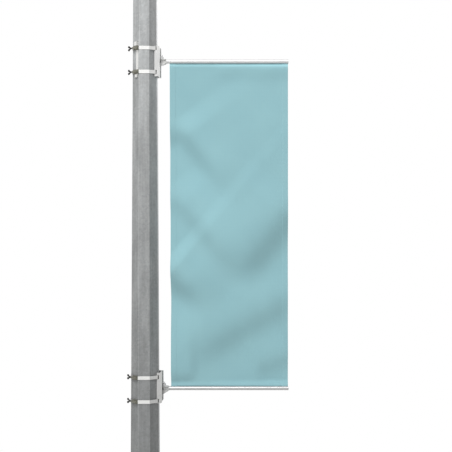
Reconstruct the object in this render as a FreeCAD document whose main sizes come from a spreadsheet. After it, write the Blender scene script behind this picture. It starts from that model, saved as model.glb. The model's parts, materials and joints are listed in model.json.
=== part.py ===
"""Banner post: a tapered octagonal steel post that carries a cloth banner between two rails.

The origin is the centre of the base plate's underside, +Z runs up the post and +X points along the
rails. Each rail hangs in a fork on a cast saddle, and two worm-drive straps hold each saddle to the
post. The driving sizes are in the spreadsheet "Sizes", in millimetres,
and the sizes that follow from them are formulas in the spreadsheet "Fits".
"""
import FreeCAD, Part
import os
import Sketcher
from FreeCAD import Placement, Rotation, Vector

SIZES = {
    # post, foot and cap
    "post_top": (4290, "height of the post's top edge above the ground"),
    "post_foot_flats": (160.6, "size across flats at ground level"),
    "post_taper": (0.01, "loss of size across flats for each millimetre of height"),
    "post_wall": (4, "wall of the post"),
    "plate_thick": (20, "thickness of the base plate"),
    "plate_corner": (30, "corner cut of the base plate"),
    "anchor_spacing": (300, "spacing of the anchor holes, both ways"),
    "anchor_edge": (50, "distance from an anchor hole's centre to the plate's edge"),
    "anchor_hole": (28, "diameter of an anchor hole"),
    "gusset_reach": (85, "reach of a foot gusset out from the post"),
    "gusset_rise": (150, "height of a foot gusset"),
    "gusset_toe": (15, "height of a foot gusset's outer edge"),
    "gusset_thick": (10, "thickness of a foot gusset"),
    "cap_lid": (5, "thickness of the cap's lid"),
    "cap_skirt": (28, "depth of the cap's skirt"),
    "cap_wall": (3, "wall of the cap's skirt"),
    "cap_play": (0.2, "gap between the cap's skirt and the post"),
    "cap_screw_radius": (3, "radius of a cap screw's shank"),
    "cap_screw_head": (5.5, "radius of a cap screw's head"),
    # banner and rails
    "upper_arm": (3910, "height of the upper rail's centre"),
    "lower_arm": (2250, "height of the lower rail's centre"),
    "rail_core": (1.8, "wall between a rail's keder groove and its spigot bore"),
    "rail_lip": (0.9, "wall beside the mouth of a rail's keder groove"),
    "rail_end": (725, "distance of the rails' outer ends from the post's centre"),
    "bead_play": (0.3, "gap between the keder bead and its groove"),
    "slot_width": (3.2, "mouth of the keder groove"),
    "bead_radius": (3.8, "radius of the keder bead"),
    "spigot_radius": (3.6, "radius of the spigot that holds a rail"),
    "spigot_length": (60, "length of the spigot inside the rail"),
    "end_cap_thick": (3, "thickness of a rail's end cap"),
    "end_cap_plug": (12, "length of the plug on a rail's end cap"),
    "set_screw_radius": (2.5, "radius of the set screws in the rails"),
    "set_screw_first": (18, "distance of the first set screw from the rail's inner end"),
    "set_screw_pitch": (26, "distance between a rail's two set screws"),
    "banner_thick": (1, "thickness of the banner"),
    "banner_end_gap": (0.5, "distance of the banner's outer edge from the rails' end caps"),
    "banner_head_inset": (12.8, "distance of the banner's head from the upper rail's inner end"),
    "banner_foot_inset": (8.8, "distance of the banner's foot from the lower rail's inner end"),
    # saddles
    "saddle_seat": (7.6, "distance of a flange tip outside the post's corner at the lower saddle"),
    "saddle_wall": (5, "wall of a saddle"),
    "saddle_web_gap": (3.5, "gap between the upper saddle's web and the straps"),
    "saddle_ear": (5, "reach of a saddle's flanges past its web"),
    "saddle_lip": (2, "length of a saddle past the strap window at its closed end"),
    "saddle_tail": (12, "length of a saddle past the strap window at its open end"),
    "saddle_round": (9, "radius of the saddle's closed end"),
    "saddle_play": (0.05, "gap between a flange tip and the post"),
    "window_play": (1, "gap between a strap's edge and its window in a flange"),
    "window_offset": (4.5, "distance of a strap window from the flange tip"),
    "window_length": (6.5, "length of a strap window along the flange"),
    # forks, tongues and pivot bolts
    "eye_play": (0.5, "gap between a tongue's eye and the saddle's web"),
    "fork_half_gap": (8, "half of the gap between the fork's cheeks"),
    "cheek_thick": (4.2, "thickness of a fork cheek"),
    "rib_play": (0.8, "gap between a pivot washer and the ribs beside it"),
    "cheek_reach": (23.5, "reach of the cheeks out from the pivot bolt"),
    "rib_thick": (3.2, "thickness of a rib below the fork"),
    "upper_rib": (12, "depth of the ribs below the upper fork"),
    "lower_rib": (21, "depth of the ribs below the lower fork"),
    "bolt_radius": (5, "radius of a pivot bolt"),
    "bolt_play": (0.1, "gap between a pivot bolt and a tongue's bore"),
    "cheek_play": (0.3, "gap between a tongue and a fork cheek"),
    "hex_flats": (17, "size across flats of a pivot bolt's head and nut"),
    "bolt_head": (6.4, "height of a pivot bolt's head"),
    "nut_hex": (9, "height of a dome nut's hexagon"),
    "nut_neck": (3, "height of the neck between hexagon and dome"),
    "dome_step": (0.9, "step between a dome nut's flats and its dome"),
    "washer_lip": (0.2, "rim of a pivot washer outside the nut's corners"),
    "washer_thick": (2, "thickness of a pivot washer"),
    "eye_wall": (5.9, "wall of a tongue's eye round the bolt"),
    "neck_half": (8, "half width of a tongue's neck"),
    "collar_play": (1, "gap between a tongue's collar and the fork's cheeks"),
    "collar_thick": (3.5, "thickness of a tongue's collar"),
    "collar_radius": (10.8, "radius of a tongue's collar"),
    # straps, worm housings and wing screws
    "strap_rise": (2.5, "height of the straps' centre above the rail's centre"),
    "strap_half_spacing": (60, "half of the distance between a saddle's two straps"),
    "strap_width": (18, "width of a strap"),
    "strap_thick": (0.7, "thickness of a strap"),
    "strap_clear": (0.3, "gap between a strap and a saddle's flange"),
    "housing_length": (36, "length of a worm housing"),
    "housing_rim": (1.1, "wall of a worm housing beside the strap"),
    "housing_floor": (0.55, "thickness of a worm housing's floor"),
    "housing_play": (0.15, "gap between a strap and the worm housing round it"),
    "housing_body": (8, "height of a worm housing's saddle above the post"),
    "housing_inset": (1, "distance of a worm housing from the post's front corner"),
    "barrel_shell": (1.1, "wall of a worm housing's barrel"),
    "barrel_end": (2.5, "end wall of a worm housing's barrel"),
    "worm_height": (10.5, "height of the worm's axis above the post"),
    "worm_core": (3, "radius of the worm's core"),
    "worm_radius": (4.8, "outside radius of the worm's thread"),
    "worm_play": (0.3, "gap between the worm and its barrel"),
    "shank_radius": (2.6, "radius of the wing screw's shank"),
    "shank_play": (0.06, "gap between the shank and the barrel's end wall"),
    "shank_length": (8, "length of the shank outside the housing"),
    "collar_ring": (4.2, "radius of the wing screw's thrust collar"),
    "wing_length": (29, "length of the wing"),
    "wing_root": (3.2, "half width of the wing at its root"),
    "wing_tip": (13.2, "half width of the wing at its tips"),
    "wing_lobe": (5.6, "radius of the round tips of the wing"),
    "wing_notch": (12, "depth of the notch between the wing's tips"),
    "wing_thick": (3, "thickness of the wing"),
    # loose tail of the upper strap
    "tail_offset": (-11.0, "place of the tail across its face of the post"),
    "tail_thick": (0.6, "thickness of the tail"),
    "tail_gap": (0.1, "gap between the tail and the post"),
    "tail_arch": (31, "height of the tail's arch above its strap"),
    "tail_reach": (13, "distance of the arch's free end from the post"),
    "tail_drop": (28, "length of the tail below the next strap"),
    "tail_curl": (4, "radius of the curl at the tail's end"),
    "tail_return": (10, "length of the curl's free end"),
}
WORM_TURNS = 8
FITS = {
    "plate_side": "anchor_spacing + 2 * anchor_edge",
    "groove_radius": "bead_radius + bead_play",
    "groove_offset": "groove_radius + rail_core / 2",
    "socket_offset": "spigot_radius + rail_core / 2",
    "rail_radius": "groove_offset + groove_radius + rail_lip",
    "banner_right": "rail_end - banner_end_gap",
    "housing_plate": "2 * tail_gap + tail_thick",
    "strap_gap": "housing_plate + housing_floor + housing_play",
    "housing_half_height": "strap_width / 2 + housing_play + housing_rim",
    "window_height": "strap_width + 2 * window_play",
    "saddle_short": "strap_half_spacing + window_height / 2 + saddle_lip",
    "saddle_long": "strap_half_spacing + window_height / 2 + saddle_tail",
    "upper_half_flats": "(post_foot_flats - post_taper * upper_arm) / 2",
    "lower_half_flats": "(post_foot_flats - post_taper * lower_arm) / 2",
    "flange_inner": "(sqrt(2) - 1) * lower_half_flats + saddle_seat",
    "saddle_width": "2 * (flange_inner + saddle_wall)",
    "web_inner": "flange_inner - (sqrt(2) - 1) * upper_half_flats + strap_gap + strap_thick + saddle_web_gap",
    "saddle_depth": "web_inner + saddle_wall",
    "eye_radius": "bolt_radius + bolt_play + eye_wall",
    "pivot_offset": "eye_radius + eye_play",
    "washer_radius": "hex_flats / 2 / cos(30 deg) + washer_lip",
    "dome_radius": "hex_flats / 2 - dome_step",
    "cheek_half": "washer_radius + rib_play + rib_thick",
    "collar_start": "cheek_reach + collar_play",
    "cheek_under": "fork_half_gap + cheek_thick",
    "barrel_radius": "worm_radius + worm_play + barrel_shell",
    "core_length": "housing_length - 2 * barrel_end - 2 * worm_play",
    "worm_pitch": f"core_length / {WORM_TURNS}",
    "worm_turn": "worm_pitch * 0.45",
}
FLAT_TURN = "tan(22.5 deg)"

doc = FreeCAD.newDocument("BannerPost")
sheet = doc.addObject("Spreadsheet::Sheet", "Sizes")
for row, (alias, (value, meaning)) in enumerate(SIZES.items(), start=1):
    sheet.set(f"A{row}", meaning)
    sheet.set(f"B{row}", str(value))
    sheet.setAlias(f"B{row}", alias)
doc.recompute()
fits = doc.addObject("Spreadsheet::Sheet", "Fits")

nodes = {}


def cell(text):
    """Return an expression with every alias in it written with its spreadsheet's name."""
    words = []
    word = ""
    for letter in str(text) + " ":
        if letter.isalnum() or letter == "_":
            word += letter
            continue
        owner = "Sizes." if word in SIZES else "Fits." if word in FITS else ""
        words.append(owner + word + letter)
        word = ""
    return "".join(words).strip()


def number(text):
    """Return the value of an expression of spreadsheet sizes."""
    return float(sheet.evalExpression(cell(text)))


for row, (alias, formula) in enumerate(FITS.items(), start=1):
    fits.set(f"A{row}", f"={cell(formula)}")
    fits.setAlias(f"A{row}", alias)
doc.recompute()


def bind(item, **expressions):
    """Bind properties of an object to expressions of spreadsheet sizes."""
    for name, text in expressions.items():
        item.setExpression(name, cell(text))
    return item


def place(item, spot=("0", "0", "0"), axis=(0, 0, 1), angle=0):
    """Turn an object by a fixed angle and bind its base point to three expressions."""
    item.Placement = Placement(Vector(0, 0, 0), Rotation(Vector(*axis), angle))
    for letter, text in zip("xyz", spot):
        item.setExpression(f"Placement.Base.{letter}", cell(text))
    return item


def box(name, corner, lengths):
    """Make a box from its low corner and its three lengths."""
    item = doc.addObject("Part::Box", name)
    bind(item, Length=lengths[0], Width=lengths[1], Height=lengths[2])
    return place(item, corner)


def rod(name, radius, length, spot, axis=(0, 0, 1), angle=0):
    """Make a cylinder along Z, or along the direction that the turn gives."""
    item = doc.addObject("Part::Cylinder", name)
    bind(item, Radius=radius, Height=length)
    return place(item, spot, axis, angle)


def rod_x(name, radius, length, spot):
    """Make a cylinder along +X."""
    return rod(name, radius, length, spot, axis=(0, 1, 0), angle=90)


def polygon_bar(name, sides, flats, length, spot, turn):
    """Make an upright bar with a regular polygon section of a given size across flats."""
    item = doc.addObject("Part::Prism", name)
    item.Polygon = sides
    bind(item, Circumradius=f"({flats}) / 2 / cos({180 / sides} deg)", Height=length)
    return place(item, spot, angle=turn)


def fuse(name, pieces):
    """Join pieces into one solid."""
    item = doc.addObject("Part::MultiFuse", name)
    item.Shapes = pieces
    return item


def cut(name, base, tools):
    """Cut one or more tools from a base."""
    tool = tools[0] if len(tools) == 1 else fuse(f"{name}_tools", tools)
    item = doc.addObject("Part::Cut", name)
    item.Base = base
    item.Tool = tool
    return item


def common(name, first, second):
    """Keep what two shapes share."""
    item = doc.addObject("Part::Common", name)
    item.Base = first
    item.Tool = second
    return item


def group(name, pieces):
    """Keep several separate solids in one node."""
    item = doc.addObject("Part::Compound", name)
    item.Links = pieces
    return item


def outline(sketch, points):
    """Draw a closed outline of straight lines whose corners are bound to pairs of expressions."""
    count = len(points)
    spots = []
    for across, up in points:
        spots.append(Vector(number(across), number(up), 0))
    for index in range(count):
        sketch.addGeometry(Part.LineSegment(spots[index], spots[(index + 1) % count]), False)
    for index in range(count):
        sketch.addConstraint(Sketcher.Constraint("Coincident", index, 2, (index + 1) % count, 1))
    for index, (across, up) in enumerate(points):
        for kind, text in (("X", across), ("Y", up)):
            limit = Sketcher.Constraint(f"Distance{kind}", index, 1, number(text))
            sketch.setExpression(f"Constraints[{sketch.addConstraint(limit)}]", cell(text))


def keep(name, item):
    """Register a finished sub-part under its node name."""
    item.Label = name
    nodes[name] = item
    return item


def plate(name, points, thickness, spot, axis=(0, 0, 1), angle=0):
    """Make a flat plate from a closed outline, grown both ways from the outline's plane."""
    sketch = doc.addObject("Sketcher::SketchObject", f"{name}_outline")
    outline(sketch, points)
    place(sketch, spot, axis, angle)
    item = doc.addObject("Part::Extrusion", name)
    item.Base = sketch
    item.DirMode = "Normal"
    item.Solid = True
    item.Symmetric = True
    return bind(item, LengthFwd=thickness)


def body_sketch(body, name, role):
    """Add a sketch to a body, attached to one of the body's own origin planes."""
    sketch = body.newObject("Sketcher::SketchObject", name)
    plane = next(item for item in body.Origin.OriginFeatures if item.Role == role)
    sketch.AttachmentSupport = [(plane, "")]
    sketch.MapMode = "FlatFace"
    return sketch


def half_flats(height):
    """Return the expression for half the post's size across flats at a height."""
    return f"(post_foot_flats - post_taper * ({height})) / 2"


def post_section(name, height, inset):
    """Draw the post's octagon at a height, moved inwards by an inset."""
    item = doc.addObject("Part::RegularPolygon", name)
    item.Polygon = 8
    bind(item, Circumradius=f"({half_flats(height)} - ({inset})) / cos(22.5 deg)")
    return place(item, ("0", "0", height), angle=22.5)


def taper(name, low, high, inset):
    """Make a tapered octagonal solid that follows the post between two heights."""
    item = doc.addObject("Part::Loft", name)
    item.Sections = [post_section(f"{name}_low", low, inset), post_section(f"{name}_high", high, inset)]
    item.Solid = True
    item.Ruled = True
    return item


def build_post():
    """Post, base plate, foot gussets, cap and cap screws."""
    screw_height = "post_top - cap_skirt / 2"
    drill_start = ("0", "plate_side / 2", screw_height)
    post_hole = rod("post_screw_hole", "cap_screw_radius", "plate_side", drill_start, (1, -1, 1), 120)
    outside = taper("post_outside", "plate_thick", "post_top", "0")
    inside = taper("post_inside", "plate_thick", "post_top", "post_wall")
    tube = cut("post_tube", outside, [inside])
    keep("post_shaft", cut("post_shaft_solid", tube, [post_hole]))

    body = doc.addObject("PartDesign::Body", "base_plate_body")
    sketch = body_sketch(body, "base_plate_outline", "XY_Plane")
    edge = "plate_side / 2"
    notch = "(plate_side / 2 - plate_corner)"
    outline(sketch, [
        (edge, notch), (notch, edge), (f"-{notch}", edge), (f"-{edge}", notch),
        (f"-{edge}", f"-{notch}"), (f"-{notch}", f"-{edge}"), (notch, f"-{edge}"), (edge, f"-{notch}"),
    ])
    pad = body.newObject("PartDesign::Pad", "base_plate_pad")
    pad.Profile = sketch
    bind(pad, Length="plate_thick")
    hole_sketch = body_sketch(body, "anchor_hole_outline", "XY_Plane")
    half_spacing = number("anchor_spacing") / 2
    centre = Vector(half_spacing, half_spacing, 0)
    hole_sketch.addGeometry(Part.Circle(centre, Vector(0, 0, 1), number("anchor_hole") / 2), False)
    limits = (
        (Sketcher.Constraint("DistanceX", 0, 3, half_spacing), "anchor_spacing / 2"),
        (Sketcher.Constraint("DistanceY", 0, 3, half_spacing), "anchor_spacing / 2"),
        (Sketcher.Constraint("Diameter", 0, number("anchor_hole")), "anchor_hole"),
    )
    for limit, text in limits:
        hole_sketch.setExpression(f"Constraints[{hole_sketch.addConstraint(limit)}]", cell(text))
    pocket = body.newObject("PartDesign::Pocket", "anchor_hole_pocket")
    pocket.Profile = hole_sketch
    pocket.Type = "ThroughAll"
    pocket.Reversed = True
    pattern = body.newObject("PartDesign::PolarPattern", "anchor_hole_pattern")
    pattern.Originals = [pocket]
    pattern.Axis = (hole_sketch, ["N_Axis"])
    pattern.Angle = 360
    pattern.Occurrences = 4
    body.Tip = pattern
    keep("base_plate", body)

    gussets = []
    rise_height = "(plate_thick + gusset_rise)"
    foot = half_flats("plate_thick")
    for turn in range(4):
        points = [
            (foot, "plate_thick"),
            (f"{foot} + gusset_reach", "plate_thick"),
            (f"{foot} + gusset_reach", "plate_thick + gusset_toe"),
            (f"{half_flats(rise_height)} + gusset_toe", rise_height),
            (half_flats(rise_height), rise_height),
        ]
        piece = plate(f"gusset_{turn}", points, "gusset_thick", ("0", "0", "0"), (1, 0, 0), 90)
        turned = Rotation(Vector(0, 0, 1), 90 * turn)
        piece.Base.Placement = Placement(Vector(0, 0, 0), turned.multiply(Rotation(Vector(1, 0, 0), 90)))
        gussets.append(piece)
    keep("base_gussets", group("base_gussets_set", gussets))

    skirt_low = "post_top - cap_skirt"
    outer = f"2 * ({half_flats(skirt_low)} + cap_play + cap_wall)"
    inner = f"2 * ({half_flats(skirt_low)} + cap_play)"
    shell = polygon_bar("cap_shell", 8, outer, "cap_skirt + cap_lid", ("0", "0", skirt_low), 22.5)
    hollow = polygon_bar("cap_hollow", 8, inner, "cap_skirt", ("0", "0", skirt_low), 22.5)
    cap_hole = rod("cap_screw_hole", "cap_screw_radius", "plate_side", drill_start, (1, -1, 1), 120)
    keep("post_cap", cut("post_cap_solid", shell, [hollow, cap_hole]))

    screws = []
    skirt_face = f"({half_flats(skirt_low)} + cap_play + cap_wall)"
    for side, sign, turn in (("front", "-", 90), ("back", "", -90)):
        face = f"{sign}{skirt_face}"
        out = f"{sign}1"
        head = rod(f"cap_screw_head_{side}", "cap_screw_head", "cap_screw_radius",
                   ("0", face, screw_height), (1, 0, 0), turn)
        shank = rod(f"cap_screw_shank_{side}", "cap_screw_radius", "cap_wall + 3 * post_wall",
                    ("0", f"{face} - ({out}) * (cap_wall + 3 * post_wall)", screw_height), (1, 0, 0), turn)
        screws.append(fuse(f"cap_screw_{side}", [head, shank]))
    keep("cap_screws", group("cap_screws_set", screws))


class Level:
    """One of the two places on the post where a saddle carries a rail."""

    def __init__(self, name, arm, closed_end_up, rib):
        self.name = name
        self.arm = arm
        self.closed_end_up = closed_end_up
        self.rib = rib
        self.straps = f"({arm} + strap_rise)"
        up, down = ("saddle_short", "saddle_long") if closed_end_up else ("saddle_long", "saddle_short")
        self.low = f"({self.straps} - {down})"
        self.high = f"({self.straps} + {up})"
        self.length = "(saddle_short + saddle_long)"
        self.tip = f"({half_flats(self.low)} * sqrt(2) - flange_inner + saddle_play)"
        self.web = f"({self.tip} + saddle_depth)"
        self.ear = f"({self.web} + saddle_ear)"
        self.pivot = f"({self.web} + pivot_offset)"
        self.rail_start = f"({self.pivot} + collar_start + collar_thick)"

    def strap_levels(self):
        """Return the place name and the height of the saddle's two straps."""
        top = f"({self.straps} + strap_half_spacing)"
        bottom = f"({self.straps} - strap_half_spacing)"
        return (("top", top), ("bottom", bottom))


def build_saddle(level):
    """Cast saddle of H section that bears on the post, with strap windows, a closed end and the fork."""
    name = level.name
    half = "saddle_width / 2"
    shell = box(f"{name}_shell", (level.tip, f"-{half}", level.low),
                ("saddle_depth + saddle_ear", "saddle_width", level.length))
    over = f"({level.length} + 2 * saddle_wall)"
    under = f"({level.low} - saddle_wall)"
    inner_space = box(f"{name}_inner_space", (f"{level.tip} - saddle_wall", "-flange_inner", under),
                      ("saddle_depth", "2 * flange_inner", over))
    outer_space = box(f"{name}_outer_space", (level.web, "-flange_inner", under),
                      ("2 * saddle_ear", "2 * flange_inner", over))
    round_low = f"({level.high} - saddle_round)" if level.closed_end_up else level.low
    round_axis = f"({level.high} - saddle_round)" if level.closed_end_up else f"({level.low} + saddle_round)"
    block = box(f"{name}_corner_block", (f"{level.ear} - saddle_round", f"-{half}", round_low),
                ("saddle_round", "saddle_width", "saddle_round"))
    roller = rod(f"{name}_corner_round", "saddle_round", "saddle_width",
                 (f"{level.ear} - saddle_round", half, round_axis), (1, 0, 0), 90)
    corner = cut(f"{name}_corner", block, [roller])
    windows = []
    for spot, height in level.strap_levels():
        windows.append(box(
            f"{name}_{spot}_window",
            (f"{level.tip} + window_offset", f"-{half} - saddle_wall", f"{height} - window_height / 2"),
            ("window_length", "saddle_width + 2 * saddle_wall", "window_height"),
        ))
    channel = cut(f"{name}_channel", shell, [inner_space, outer_space, corner] + windows)

    wall_start = f"({half_flats(level.low)} + strap_gap + strap_thick + 2 * strap_clear)"
    wall_low = f"({level.high} - saddle_wall)" if level.closed_end_up else level.low
    end_wall = box(f"{name}_end_wall", (wall_start, "-flange_inner - saddle_wall / 2", wall_low),
                   (f"{level.web} - {wall_start}", "2 * flange_inner + saddle_wall", "saddle_wall"))

    reach = "cheek_reach + pivot_offset"
    disc = rod(f"{name}_fork_disc", "cheek_reach", "4 * (fork_half_gap + cheek_thick) + upper_rib + lower_rib",
               (level.pivot, "0", f"{level.arm} - 2 * (fork_half_gap + cheek_thick) - lower_rib"))
    pieces = [
        box(f"{name}_upper_cheek", (level.web, "-cheek_half", f"{level.arm} + fork_half_gap"),
            (reach, "2 * cheek_half", "cheek_thick")),
        box(f"{name}_lower_cheek", (level.web, "-cheek_half", f"{level.arm} - fork_half_gap - cheek_thick"),
            (reach, "2 * cheek_half", "cheek_thick")),
    ]
    for side, shift in (("front", "-cheek_half + rib_thick / 2"), ("back", "cheek_half - rib_thick / 2")):
        points = [
            (level.web, f"{level.arm} - cheek_under"),
            (level.web, f"{level.arm} - cheek_under - {level.rib}"),
            (f"{level.web} + {reach}", f"{level.arm} - cheek_under"),
        ]
        pieces.append(plate(f"{name}_{side}_rib", points, "rib_thick", ("0", shift, "0"), (1, 0, 0), 90))
    fork = common(f"{name}_fork_block", fuse(f"{name}_fork_pieces", pieces), disc)
    bore = rod(f"{name}_bolt_hole", "bolt_radius", "4 * cheek_thick + 2 * fork_half_gap",
               (level.pivot, "0", f"{level.arm} - cheek_under - cheek_thick"))
    drilled = cut(f"{name}_fork", fork, [bore])
    keep(f"{name}_saddle", fuse(f"{name}_saddle_solid", [channel, end_wall, drilled]))


def build_pivot(level):
    """Pivot bolt, its washers and its dome nut."""
    name = level.name
    head_low = f"({level.arm} - cheek_under - washer_thick - bolt_head)"
    head = polygon_bar(f"{name}_bolt_head", 6, "hex_flats", "bolt_head", (level.pivot, "0", head_low), 0)
    shank = rod(f"{name}_bolt_shank", "bolt_radius",
                "2 * cheek_under + 2 * washer_thick + bolt_head + nut_hex",
                (level.pivot, "0", head_low))
    keep(f"{name}_pivot_bolt", fuse(f"{name}_pivot_bolt_solid", [head, shank]))

    washers = []
    seats = (("low", f"{level.arm} - cheek_under - washer_thick"), ("high", f"{level.arm} + cheek_under"))
    for spot, low in seats:
        ring = rod(f"{name}_{spot}_washer_disc", "washer_radius", "washer_thick", (level.pivot, "0", low))
        hole = rod(f"{name}_{spot}_washer_hole", "bolt_radius", "washer_thick", (level.pivot, "0", low))
        washers.append(cut(f"{name}_{spot}_washer", ring, [hole]))
    keep(f"{name}_pivot_washers", group(f"{name}_pivot_washers_set", washers))

    nut_low = f"({level.arm} + cheek_under + washer_thick)"
    neck_top = f"({nut_low} + nut_hex + nut_neck)"
    hexagon = polygon_bar(f"{name}_nut_hex", 6, "hex_flats", "nut_hex", (level.pivot, "0", nut_low), 0)
    neck = rod(f"{name}_nut_neck", "dome_radius", "nut_hex + nut_neck", (level.pivot, "0", nut_low))
    dome = doc.addObject("Part::Sphere", f"{name}_nut_dome")
    bind(dome, Radius="dome_radius")
    place(dome, (level.pivot, "0", neck_top))
    thread = rod(f"{name}_nut_thread", "bolt_radius", "nut_hex", (level.pivot, "0", nut_low))
    solid = fuse(f"{name}_nut_body", [hexagon, neck, dome])
    keep(f"{name}_dome_nut", cut(f"{name}_dome_nut_solid", solid, [thread]))


def build_tongue(level, banner_side):
    """Tongue that swings in the fork, with a collar and the spigot that carries the rail."""
    name = level.name
    half = "(fork_half_gap - cheek_play)"
    low = f"{level.arm} - {half}"
    eye = rod(f"{name}_eye", "eye_radius", f"2 * {half}", (level.pivot, "0", low))
    neck = box(f"{name}_neck", (level.pivot, "-neck_half", low),
               ("collar_start", "2 * neck_half", f"2 * {half}"))
    collar = rod_x(f"{name}_collar", "collar_radius", "collar_thick",
                   (f"{level.pivot} + collar_start", "0", level.arm))
    spigot = rod_x(f"{name}_spigot", "spigot_radius", "collar_thick + spigot_length",
                   (f"{level.pivot} + collar_start", "0", f"{level.arm} - ({banner_side}) * socket_offset"))
    bore = rod(f"{name}_tongue_bore", "bolt_radius + bolt_play", f"2 * {half}", (level.pivot, "0", low))
    solid = fuse(f"{name}_tongue_body", [eye, neck, collar, spigot])
    keep(f"{name}_tongue", cut(f"{name}_tongue_solid", solid, [bore]))


def build_rail(level, banner_side):
    """Keder rail with its set screws and end cap; banner_side is 1 where the banner lies above it."""
    name = level.name
    length = f"(rail_end - {level.rail_start})"
    groove_height = f"({level.arm} + ({banner_side}) * groove_offset)"
    socket_height = f"({level.arm} - ({banner_side}) * socket_offset)"
    round_bar = rod_x(f"{name}_rail_bar", "rail_radius", length, (level.rail_start, "0", level.arm))
    groove = rod_x(f"{name}_rail_groove", "groove_radius", length, (level.rail_start, "0", groove_height))
    slot_low = groove_height if banner_side > 0 else f"{groove_height} - rail_radius"
    slot = box(f"{name}_rail_slot", (level.rail_start, "-slot_width / 2", slot_low),
               (length, "slot_width", "rail_radius"))
    socket = rod_x(f"{name}_rail_socket", "spigot_radius", length, (level.rail_start, "0", socket_height))
    tools = [groove, slot, socket]
    screws = []
    turn = 180 if banner_side > 0 else 0
    start = f"({socket_height} - ({banner_side}) * spigot_radius)"
    reach = "(rail_radius - socket_offset - spigot_radius)"
    key_low = f"{start} - {3 if banner_side > 0 else -1} * {reach} / 2"
    for index in range(2):
        along = f"{level.rail_start} + set_screw_first + {index} * set_screw_pitch"
        tools.append(rod(f"{name}_screw_hole_{index}", "set_screw_radius", "rail_radius",
                         (along, "0", socket_height), (1, 0, 0), turn))
        stud = rod(f"{name}_set_screw_stud_{index}", "set_screw_radius", reach,
                   (along, "0", start), (1, 0, 0), turn)
        key = polygon_bar(f"{name}_set_screw_key_{index}", 6, "set_screw_radius", reach,
                          (along, "0", key_low), 0)
        screws.append(cut(f"{name}_set_screw_{index}", stud, [key]))
    keep(f"{name}_rail", cut(f"{name}_rail_solid", round_bar, tools))
    keep(f"{name}_rail_set_screws", group(f"{name}_rail_set_screws_set", screws))

    disc = rod_x(f"{name}_end_disc", "rail_radius", "end_cap_thick", ("rail_end", "0", level.arm))
    plug = rod_x(f"{name}_end_plug", "spigot_radius", "end_cap_plug + end_cap_thick",
                 ("rail_end - end_cap_plug", "0", socket_height))
    keep(f"{name}_rail_end_cap", fuse(f"{name}_rail_end_cap_solid", [disc, plug]))
    return groove_height


def build_banner(upper_groove, lower_groove):
    """Cloth banner and the two keder beads that hang it in the rails' grooves."""
    upper, lower = LEVELS
    head_left = f"({upper.rail_start} + banner_head_inset)"
    foot_left = f"({lower.rail_start} + banner_foot_inset)"
    for name, groove, left in (("upper", upper_groove, head_left), ("lower", lower_groove, foot_left)):
        bead = rod_x(f"{name}_bead", "bead_radius", f"banner_right - {left}", (left, "0", groove))
        keep(f"{name}_keder_bead", bead)
    points = [
        (foot_left, lower_groove),
        ("banner_right", lower_groove),
        ("banner_right", upper_groove),
        (head_left, upper_groove),
    ]
    cloth = plate("banner_cloth", points, "banner_thick", ("0", "0", "0"), (1, 0, 0), 90)
    cores = [
        rod_x("upper_bead_space", "bead_radius", "2 * banner_right", ("0", "0", upper_groove)),
        rod_x("lower_bead_space", "bead_radius", "2 * banner_right", ("0", "0", lower_groove)),
    ]
    keep("banner", cut("banner_solid", cloth, cores))


def strap_frame(level, height):
    """Return half the post's size across flats at a strap, taken at the strap's lower edge."""
    return f"({half_flats(f'{height} - housing_half_height')})"


def build_strap(level, spot, height):
    """Steel strap that runs round the post and through the saddle's two flanges."""
    name = f"{level.name}_{spot}"
    out = f"({strap_frame(level, height)} + strap_gap)"
    corner = f"{out} * {FLAT_TURN}"
    edge_x = f"({level.tip} + window_offset + 0.5)"
    edge_y = "(saddle_width / 2 + strap_clear)"
    front = [
        (f"-{out}", f"-{corner}"), (f"-{corner}", f"-{out}"), (corner, f"-{out}"),
        (edge_x, f"-{edge_y}"), (out, f"-{corner}"),
    ]
    back = [(across, up[1:]) for across, up in reversed(front)]
    sketch = doc.addObject("Sketcher::SketchObject", f"{name}_strap_path")
    outline(sketch, front + back)
    place(sketch, ("0", "0", f"{height} - strap_width / 2"))
    band = doc.addObject("Part::Offset2D", f"{name}_strap_band")
    band.Source = sketch
    band.Fill = True
    band.Join = "Arc"
    bind(band, Value="strap_thick")
    strap = doc.addObject("Part::Extrusion", f"{name}_strap_solid")
    strap.Base = band
    strap.DirMode = "Custom"
    strap.Dir = Vector(0, 0, 1)
    strap.Solid = True
    bind(strap, LengthFwd="strap_width")
    keep(f"{name}_strap", strap)


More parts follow.
